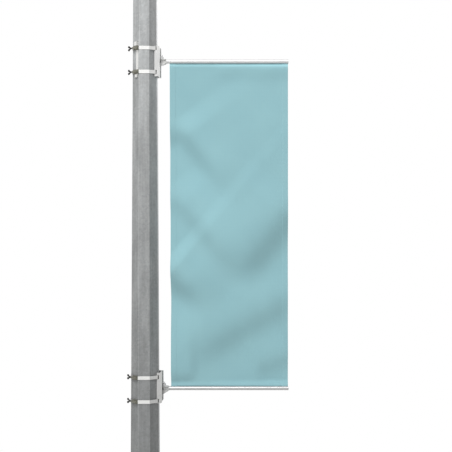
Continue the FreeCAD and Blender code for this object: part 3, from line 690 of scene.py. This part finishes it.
@dataclass
class Post:
    """The octagonal post with its folded corners, seam weld, foot and cap."""

    bend: float = 3.0 * MM
    bend_segments: int = 3
    upright_rise: float = 1.0  # an edge that climbs more than this is a bend
    foot_edge: float = 1.5 * MM
    cap_edge: float = 1.2 * MM
    cap_wall: float = 3.2 * MM
    screw_edge: float = 0.8 * MM
    seam_width: float = 7.0 * MM
    seam_height: float = 0.9 * MM
    seam_sink: float = 0.05 * MM
    seam_gap: float = 2.0 * MM
    seam_waver: float = 0.5 * MM
    weld_size: float = 7.0 * MM
    gusset_half: float = 5.0 * MM
    ripple: float = 5.0 * MM
    low: Vector = field(default_factory=Vector)
    high: Vector = field(default_factory=Vector)
    half_foot: float = 0.0
    half_top: float = 0.0

    def measure(self) -> None:
        """Read the shaft's ends and its size across flats from the CAD shaft and cap."""
        low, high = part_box("post_shaft")
        cap_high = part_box("post_cap")[1]
        self.low, self.high = Vector(low), Vector(high)
        self.half_foot = self.high.x
        self.half_top = cap_high[0] - self.cap_wall

    def build(
        self,
        frame: dict[str, Any],
        sheet: bpy.types.Material,
        steel: bpy.types.Material,
        screws: bpy.types.Material,
    ) -> None:
        """Make the post, with its foot and its cap.

        Args:
            frame: The loaded frame.
            sheet: The finish of the folded sheet.
            steel: The finish of the foot, the welds and the cap.
            screws: The finish of the cap's screws.
        """
        self.measure()
        self.build_shaft(sheet)
        self.build_seam(steel)
        self.build_welds(steel)
        rounded(frame, "base_plate", steel, Body.POST, self.foot_edge)
        rounded(frame, "base_gussets", steel, Body.POST, self.foot_edge)
        rounded(frame, "post_cap", steel, Body.POST, self.cap_edge)
        rounded(frame, "cap_screws", screws, Body.POST, self.screw_edge)

    def half_flats(self, height: float) -> float:
        """Return half the post's size across flats at a height."""
        share = (height - self.low.z) / (self.high.z - self.low.z)
        return self.half_foot + (self.half_top - self.half_foot) * share

    def build_shaft(self, steel: bpy.types.Material) -> bpy.types.Object:
        """Make the closed tapered shaft with rounded bends between its faces.

        Args:
            steel: The finish of the folded sheet.

        Returns:
            The shaft.
        """
        low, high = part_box("post_shaft")
        corner = 1.0 / math.cos(math.pi / 8)
        turn = Matrix.Rotation(math.pi / 8, 4, "Z")
        shaft = bmesh.new()
        ring = bmesh.ops.create_circle(
            shaft, cap_ends=True, segments=8, radius=self.half_flats(low[2]) * corner, matrix=turn
        )
        for vert in ring["verts"]:
            vert.co.z = low[2]
        grown = bmesh.ops.extrude_face_region(shaft, geom=shaft.faces[:])
        top = [item for item in grown["geom"] if isinstance(item, bmesh.types.BMVert)]
        shrink = self.half_flats(high[2]) / self.half_flats(low[2])
        bmesh.ops.scale(shaft, verts=top, vec=(shrink, shrink, 1.0))
        bmesh.ops.translate(shaft, verts=top, vec=(0, 0, high[2] - low[2]))
        upright = [
            edge
            for edge in shaft.edges
            if abs(edge.verts[0].co.z - edge.verts[1].co.z) > self.upright_rise
        ]
        bmesh.ops.bevel(
            shaft,
            geom=upright,
            offset=self.bend,
            offset_type="OFFSET",
            segments=self.bend_segments,
            profile=0.5,
            affect="EDGES",
            material=-1,
        )
        piece = finish_mesh("post_shaft_folded", shaft, steel, Body.POST)
        piece.modifiers.new("even_shading", "WEIGHTED_NORMAL").keep_sharp = True
        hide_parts("post_shaft")
        return piece

    def build_seam(self, steel: bpy.types.Material) -> bpy.types.Object:
        """Make the long seam weld that closes the folded sheet, up the middle of its back face.

        Args:
            steel: The finish of the weld.

        Returns:
            The weld.
        """
        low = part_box("post_shaft")[0]
        start, end = low[2] + self.seam_gap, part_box("post_cap")[0][2] - self.seam_gap
        count = int((end - start) / self.ripple)
        seam = bmesh.new()
        bmesh.ops.create_grid(seam, x_segments=6, y_segments=count, size=0.5)
        for vert in seam.verts:
            across, up = vert.co.x * 2.0, vert.co.y + 0.5
            height = start + up * (end - start)
            crown = math.sqrt(max(0.0, 1.0 - across * across))
            lift = self.seam_height * crown * (0.8 + 0.2 * noise.noise(Vector((0, 0, height * 160))))
            edge = self.seam_waver * noise.noise(Vector((across, 5, height * 90)))
            out = self.half_flats(height) - self.seam_sink + lift
            vert.co = Vector((across * self.seam_width / 2 + edge, out, height))
        piece = finish_mesh("post_seam_weld", seam, steel, Body.POST, 180)
        return piece

    def build_welds(self, steel: bpy.types.Material) -> bpy.types.Object:
        """Make the fillet welds round the post's foot and along both sides of each gusset.

        Args:
            steel: The finish of the welds.

        Returns:
            The welds, as one piece.
        """
        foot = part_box("post_shaft")[0][2]
        gusset_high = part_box("base_gussets")[1]
        welds = bmesh.new()
        corner = self.half_flats(foot) / math.cos(math.pi / 8)
        for side in range(8):
            first, last = (
                Vector((corner * math.cos(angle), corner * math.sin(angle), foot))
                for angle in (math.pi / 8 * (2 * side - 1), math.pi / 8 * (2 * side + 1))
            )
            self.add_bead(welds, first, last)
        for quarter in range(4):
            turn = Matrix.Rotation(math.pi / 2 * quarter, 4, "Z")
            for sign in (-1, 1):
                inner = Vector((self.half_flats(foot), sign * self.gusset_half, foot))
                outer = Vector((gusset_high.x, sign * self.gusset_half, foot))
                upper = Vector((self.half_flats(gusset_high.z), sign * self.gusset_half, gusset_high.z))
                self.add_bead(welds, turn @ inner, turn @ outer)
                self.add_bead(welds, turn @ inner, turn @ upper)
        piece = finish_mesh("foot_fillet_welds", welds, steel, Body.POST, 180)
        return piece

    def add_bead(self, mesh: bmesh.types.BMesh, first: Vector, last: Vector) -> None:
        """Add one rippled weld bead along a line.

        Args:
            mesh: The bmesh to add to.
            first: One end of the line.
            last: The other end.
        """
        run = last - first
        count = max(2, int(run.length / self.ripple))
        aim = Vector((0, 0, 1)).rotation_difference(run).to_matrix().to_4x4()
        for index in range(count):
            spot = first + run * ((index + 0.5) / count)
            size = self.weld_size / 2 * (1.0 + 0.15 * noise.noise(spot * 70))
            shape = Matrix.Diagonal((size, size, self.ripple * 0.95, 1))
            bmesh.ops.create_icosphere(
                mesh, subdivisions=1, radius=1.0, matrix=Matrix.Translation(spot) @ aim @ shape
            )


# --------------------------------------------------------------------------- the banner


@dataclass(frozen=True)
class Crease:
    """One soft fold, from a start to an end in shares of the banner's width and height."""

    start: tuple[float, float]
    end: tuple[float, float]
    reach: float
    slope: float
    fade_start: float = 0.35
    fade_end: float = 0.35

    def depth(self, across: float, up: float, width: float, height: float) -> float:
        """Return how far the crease moves the cloth back at one spot.

        Args:
            across: Distance from the banner's inner edge, in metres.
            up: Distance from the banner's foot, in metres.
            width: The banner's width.
            height: The banner's height.

        Returns:
            The move in metres, positive towards the back.
        """
        first = Vector((self.start[0] * width, self.start[1] * height))
        last = Vector((self.end[0] * width, self.end[1] * height))
        along = last - first
        length = along.length
        along.normalize()
        normal = Vector((-along.y, along.x))
        if normal.y < 0:
            normal.negate()
        offset = Vector((across, up)) - first
        share = offset.dot(along) / length
        rise = smooth_step((share + self.fade_start * 0.5) / self.fade_start)
        fall = smooth_step((1.0 + self.fade_end * 0.5 - share) / self.fade_end)
        side = offset.dot(normal) / self.reach
        return -self.slope * self.reach * side / (1.0 + side * side) ** 1.25 * rise * fall


@dataclass
class Banner:
    """The cloth between the rails, with its folds, hems and stitching."""

    hem_width: float = 30 * MM
    hem_rise: float = 0.6 * MM
    hem_overhang: float = 0.5 * MM
    hem_edge: float = 0.4 * MM
    thickness: float = 0.7 * MM
    cell: float = 6.5 * MM
    edge_hold: float = 0.03
    stitch_length: float = 3.2 * MM
    stitch_gap: float = 1.3 * MM
    stitch_half: float = 0.45 * MM
    stitch_stand: float = 0.25 * MM
    stitch_insets: tuple[float, float] = (3 * MM, 9 * MM)  # from the hem's inner edge
    ripple_mm: float = 1.2
    creases: tuple[Crease, ...] = (
        Crease((0.42, 0.961), (1.05, 0.961), 0.066, 0.16),
        Crease((0.07, 0.79), (0.426, 0.622), 0.094, 0.60, fade_end=1.0),
        Crease((0.02, 0.583), (0.465, 0.388), 0.090, 0.42, fade_end=0.8),
        Crease((-0.067, 0.35), (0.22, 0.262), 0.115, 0.70, fade_end=1.0),
        Crease((1.09, 0.543), (0.65, 0.343), 0.140, 0.50, fade_end=0.5),
        Crease((1.08, 0.271), (0.25, 0.092), 0.130, 0.38, fade_end=0.6),
        Crease((0.74, 0.048), (1.05, 0.088), 0.095, 0.30),
        Crease((-0.1, 0.018), (0.2, 0.022), 0.075, 0.36),
    )
    low: Vector = field(default_factory=Vector)
    high: Vector = field(default_factory=Vector)
    lean: float = 7.5 * MM

    def measure(self) -> None:
        """Read the cloth's place from the CAD banner."""
        low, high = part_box("banner")
        self.low, self.high = Vector(low), Vector(high)

    def surface(self, across: float, up: float) -> Vector:
        """Return a spot on the cloth's middle surface.

        Args:
            across: Share of the cloth's width, from its inner edge.
            up: Height above the cloth's foot, in metres.

        Returns:
            The spot, in metres.
        """
        height = self.high.z - self.low.z
        left = self.low.x + self.lean * (1.0 - up / height)
        width = self.high.x - left
        spot = across * width
        hold = smooth_step(up / self.edge_hold) * smooth_step((height - up) / self.edge_hold)
        depth = sum(crease.depth(spot, up, width, height) for crease in self.creases)
        ripple = noise.noise(Vector((spot * 9.0, up * 5.0, 3.0))) * self.ripple_mm * MM
        return Vector((left + spot, (depth + ripple) * hold, self.low.z + up))

    def build(self, cloth: bpy.types.Material, thread: bpy.types.Material) -> list[bpy.types.Object]:
        """Make the cloth, its two side hems and their stitching.

        Args:
            cloth: The finish of the cloth.
            thread: The finish of the sewing thread.

        Returns:
            The pieces, the cloth first.
        """
        self.measure()
        height = self.high.z - self.low.z
        width = self.high.x - self.low.x
        columns, rows = round(width / self.cell), round(height / self.cell)
        sheet = bmesh.new()
        bmesh.ops.create_grid(sheet, x_segments=columns, y_segments=rows, size=0.5)
        for vert in sheet.verts:
            vert.co = self.surface(vert.co.x + 0.5, (vert.co.y + 0.5) * height)
        piece = finish_mesh("banner_cloth", sheet, cloth, Body.ARMS, 180)
        wall = piece.modifiers.new("cloth_thickness", "SOLIDIFY")
        wall.thickness = self.thickness
        wall.offset = 0.0
        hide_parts("banner")
        hems = [self.build_hem(side, cloth, rows) for side in ("inner", "outer")]
        seams = [self.build_stitches(side, thread) for side in ("inner", "outer")]
        return [piece, *hems, *seams]

    def hem_share(self, side: str, offset: float) -> float:
        """Return the share of the width that lies a distance inside one side edge."""
        width = self.high.x - self.low.x
        return offset / width if side == "inner" else 1.0 - offset / width

    def build_hem(self, side: str, cloth: bpy.types.Material, rows: int) -> bpy.types.Object:
        """Make the turned-over strip of cloth along one side edge.

        Args:
            side: "inner" or "outer".
            cloth: The finish of the cloth.
            rows: Number of cells along the strip, the same as the cloth's.

        Returns:
            The hem.
        """
        height = self.high.z - self.low.z
        strip = bmesh.new()
        bmesh.ops.create_grid(strip, x_segments=6, y_segments=rows, size=0.5)
        for vert in strip.verts:
            inset = self.hem_width * (vert.co.x + 0.5) - self.hem_overhang
            vert.co = self.surface(self.hem_share(side, inset), (vert.co.y + 0.5) * height)
        piece = finish_mesh(f"banner_{side}_hem", strip, cloth, Body.ARMS, 180)
        wall = piece.modifiers.new("hem_thickness", "SOLIDIFY")
        wall.thickness = self.thickness + 2 * self.hem_rise
        wall.offset = 0.0
        soften = piece.modifiers.new("hem_edge", "BEVEL")
        soften.width = self.hem_edge
        soften.segments = 2
        soften.angle_limit = math.radians(60)
        return piece

    def build_stitches(self, side: str, thread: bpy.types.Material) -> bpy.types.Object:
        """Make the two rows of stitches that hold one side hem, on both faces of the cloth.

        Args:
            side: "inner" or "outer".
            thread: The finish of the sewing thread.

        Returns:
            The stitches, as one piece.
        """
        height = self.high.z - self.low.z
        seam = bmesh.new()
        pitch = self.stitch_length + self.stitch_gap
        count = int(height / pitch)
        stand = self.thickness / 2 + self.hem_rise + self.stitch_stand
        for inset in self.stitch_insets:
            share = self.hem_share(side, self.hem_width - inset)
            for index in range(count):
                spot = self.surface(share, (index + 0.5) * pitch)
                ahead = self.surface(share, min(height, (index + 0.9) * pitch)) - spot
                turn = Vector((0, 0, 1)).rotation_difference(ahead).to_matrix().to_4x4()
                size = Matrix.Diagonal((self.stitch_half, stand, self.stitch_length / 2, 1))
                bmesh.ops.create_icosphere(
                    seam, subdivisions=1, radius=1.0, matrix=Matrix.Translation(spot) @ turn @ size
                )
        return finish_mesh(f"banner_{side}_stitching", seam, thread, Body.ARMS, 60)


# --------------------------------------------------------------------------- saddles, straps and rails


@dataclass
class Arm:
    """One saddle with its straps, its pivot and the rail that swings on it."""

    level: str
    cast_edge: float = 1.3 * MM
    small_edge: float = 0.5 * MM
    band_edge: float = 0.2 * MM
    wing_edge: float = 1.0 * MM
    wing_segments: int = 3
    set_screw_edge: float = 0.1 * MM
    tail_edge: float = 0.15 * MM

    def build(self, frame: dict[str, Any], finishes: dict[Finish, bpy.types.Material]) -> None:
        """Stand finished pieces in for the CAD nodes of this level.

        Args:
            frame: The loaded frame.
            finishes: The built finishes.
        """
        level = self.level
        rounded(frame, f"{level}_saddle", finishes[Finish.CAST], Body.POST, self.cast_edge)
        rounded(frame, f"{level}_tongue", finishes[Finish.CAST], Body.ARMS, self.small_edge)
        rounded(frame, f"{level}_rail", finishes[Finish.RAIL], Body.ARMS, self.band_edge, 1)
        rounded(frame, f"{level}_keder_bead", finishes[Finish.CORD], Body.ARMS, self.small_edge)
        rounded(
            frame,
            f"{level}_rail_end_cap",
            finishes[Finish.RAIL],
            Body.ARMS,
            self.small_edge,
        )
        rounded(
            frame,
            f"{level}_rail_set_screws",
            finishes[Finish.FASTENER],
            Body.ARMS,
            self.set_screw_edge,
            1,
        )
        for part in ("pivot_bolt", "pivot_washers", "dome_nut"):
            rounded(
                frame,
                f"{level}_{part}",
                finishes[Finish.FASTENER],
                Body.POST,
                self.small_edge,
            )
        for spot in ("top", "bottom"):
            self.build_strap(frame, spot, finishes)

    def build_strap(
        self, frame: dict[str, Any], spot: str, finishes: dict[Finish, bpy.types.Material]
    ) -> None:
        """Stand finished pieces in for one strap, its worm housing and its wing screw.

        Args:
            frame: The loaded frame.
            spot: "top" or "bottom", the strap's place on the saddle.
            finishes: The built finishes.
        """
        name = f"{self.level}_{spot}"
        rounded(
            frame, f"{name}_strap", finishes[Finish.BAND], Body.POST, self.band_edge, 1
        )
        rounded(
            frame,
            f"{name}_worm_housing",
            finishes[Finish.STAMPED],
            Body.POST,
            self.small_edge,
        )
        rounded(
            frame,
            f"{name}_wing_screw",
            finishes[Finish.WING],
            f"{name}_screw",
            self.wing_edge,
            self.wing_segments,
        )

    def build_tail(self, frame: dict[str, Any], finishes: dict[Finish, bpy.types.Material]) -> None:
        """Stand a finished piece in for the loose end of this level's top strap."""
        name = f"{self.level}_strap_tail"
        rounded(frame, name, finishes[Finish.BAND], Body.POST, self.tail_edge, 1)


# --------------------------------------------------------------------------- studio


@dataclass(frozen=True)
class Sun:
    """A soft, distant light, as a large panel gives."""

    name: str
    towards: tuple[float, float, float]
    strength: float
    spread_deg: float

    def add(self) -> None:
        """Add the light to the scene."""
        light = bpy.data.lights.new(self.name, "SUN")
        light.energy = self.strength
        light.angle = math.radians(self.spread_deg)
        lamp = bpy.data.objects.new(self.name, light)
        lamp.rotation_mode = "QUATERNION"
        lamp.rotation_quaternion = Vector(self.towards).to_track_quat("Z", "Y")
        bpy.context.collection.objects.link(lamp)


@dataclass
class Studio:
    """Plain white studio: a pale floor, a key from the upper left, and fills from behind and in front."""

    distance: float = 5.45
    eye_height: float = 3.196
    eye_across: float = 0.594
    shift: tuple[float, float] = (-0.080, -0.053)
    view_width: float = 2.298
    floor_radius: float = 6.0
    suns: tuple[Sun, ...] = (
        Sun("key_light", (-0.20, -0.60, 0.78), 3.0, 24),
        Sun("back_fill", (0.5, 0.8, 0.35), 1.9, 25),
        Sun("front_fill", (-0.25, -0.93, -0.25), 0.42, 40),
    )
    world_light: float = 0.20
    world_gloss: float = 0.7

    def build(self) -> None:
        """Make the floor, the lights, the world and the camera."""
        floor = bmesh.new()
        bmesh.ops.create_circle(floor, cap_ends=True, segments=96, radius=self.floor_radius)
        data = bpy.data.meshes.new("studio_floor")
        floor.to_mesh(data)
        floor.free()
        data.materials.append(StudioFloor().build())
        piece = bpy.data.objects.new("studio_floor", data)
        bpy.context.collection.objects.link(piece)
        for sun in self.suns:
            sun.add()
        self.build_world()
        self.build_camera()

    def build_world(self) -> None:
        """Make a white backdrop for the camera, and a softer light for the object."""
        world = bpy.data.worlds.new("white_studio")
        bpy.context.scene.world = world
        world.use_nodes = True
        tree = world.node_tree
        tree.nodes.clear()
        path = add_node(tree, "ShaderNodeLightPath")
        soft = add_node(
            tree, "ShaderNodeBackground", values={"Color": grey(1.0), "Strength": self.world_light}
        )
        gloss = add_node(
            tree, "ShaderNodeBackground", values={"Color": grey(1.0), "Strength": self.world_gloss}
        )
        white = add_node(tree, "ShaderNodeBackground", values={"Color": grey(1.0), "Strength": 1.0})
        lit = add_node(
            tree,
            "ShaderNodeMixShader",
            links={0: path.outputs["Is Glossy Ray"], 1: soft.outputs[0], 2: gloss.outputs[0]},
        )
        seen = add_node(
            tree,
            "ShaderNodeMixShader",
            links={0: path.outputs["Is Camera Ray"], 1: lit.outputs[0], 2: white.outputs[0]},
        )
        add_node(tree, "ShaderNodeOutputWorld", links={"Surface": seen.outputs[0]})

    def build_camera(self) -> None:
        """Add a camera level with the banner's upper half, looking along +Y."""
        data = bpy.data.cameras.new("camera")
        data.lens = data.sensor_width * self.distance / self.view_width
        data.shift_x, data.shift_y = self.shift
        camera = bpy.data.objects.new("camera", data)
        camera.location = (self.eye_across, -self.distance, self.eye_height)
        camera.rotation_euler = (math.pi / 2, 0.0, 0.0)
        bpy.context.collection.objects.link(camera)
        scene = bpy.context.scene
        scene.camera = camera
        scene.view_settings.view_transform = "Standard"


# --------------------------------------------------------------------------- main


def main() -> None:
    """Build every sub-assembly in order."""
    logging.basicConfig(level=logging.INFO, format="%(message)s")
    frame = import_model()
    finishes = {finish: finish.value.build() for finish in Finish}
    steel = GalvanisedSteel().build()
    cloth = BannerCloth().build()
    sheet = GalvanisedSteel("hot_dip_galvanised_sheet", painted_bends_and_faces=True).build()
    Post().build(frame, sheet, steel, finishes[Finish.FASTENER])
    upper, lower = Arm("upper"), Arm("lower")
    upper.build(frame, finishes)
    lower.build(frame, finishes)
    upper.build_tail(frame, finishes)
    Banner().build(cloth, finishes[Finish.CORD])
    Studio().build()


if __name__ == "__main__":
    main()
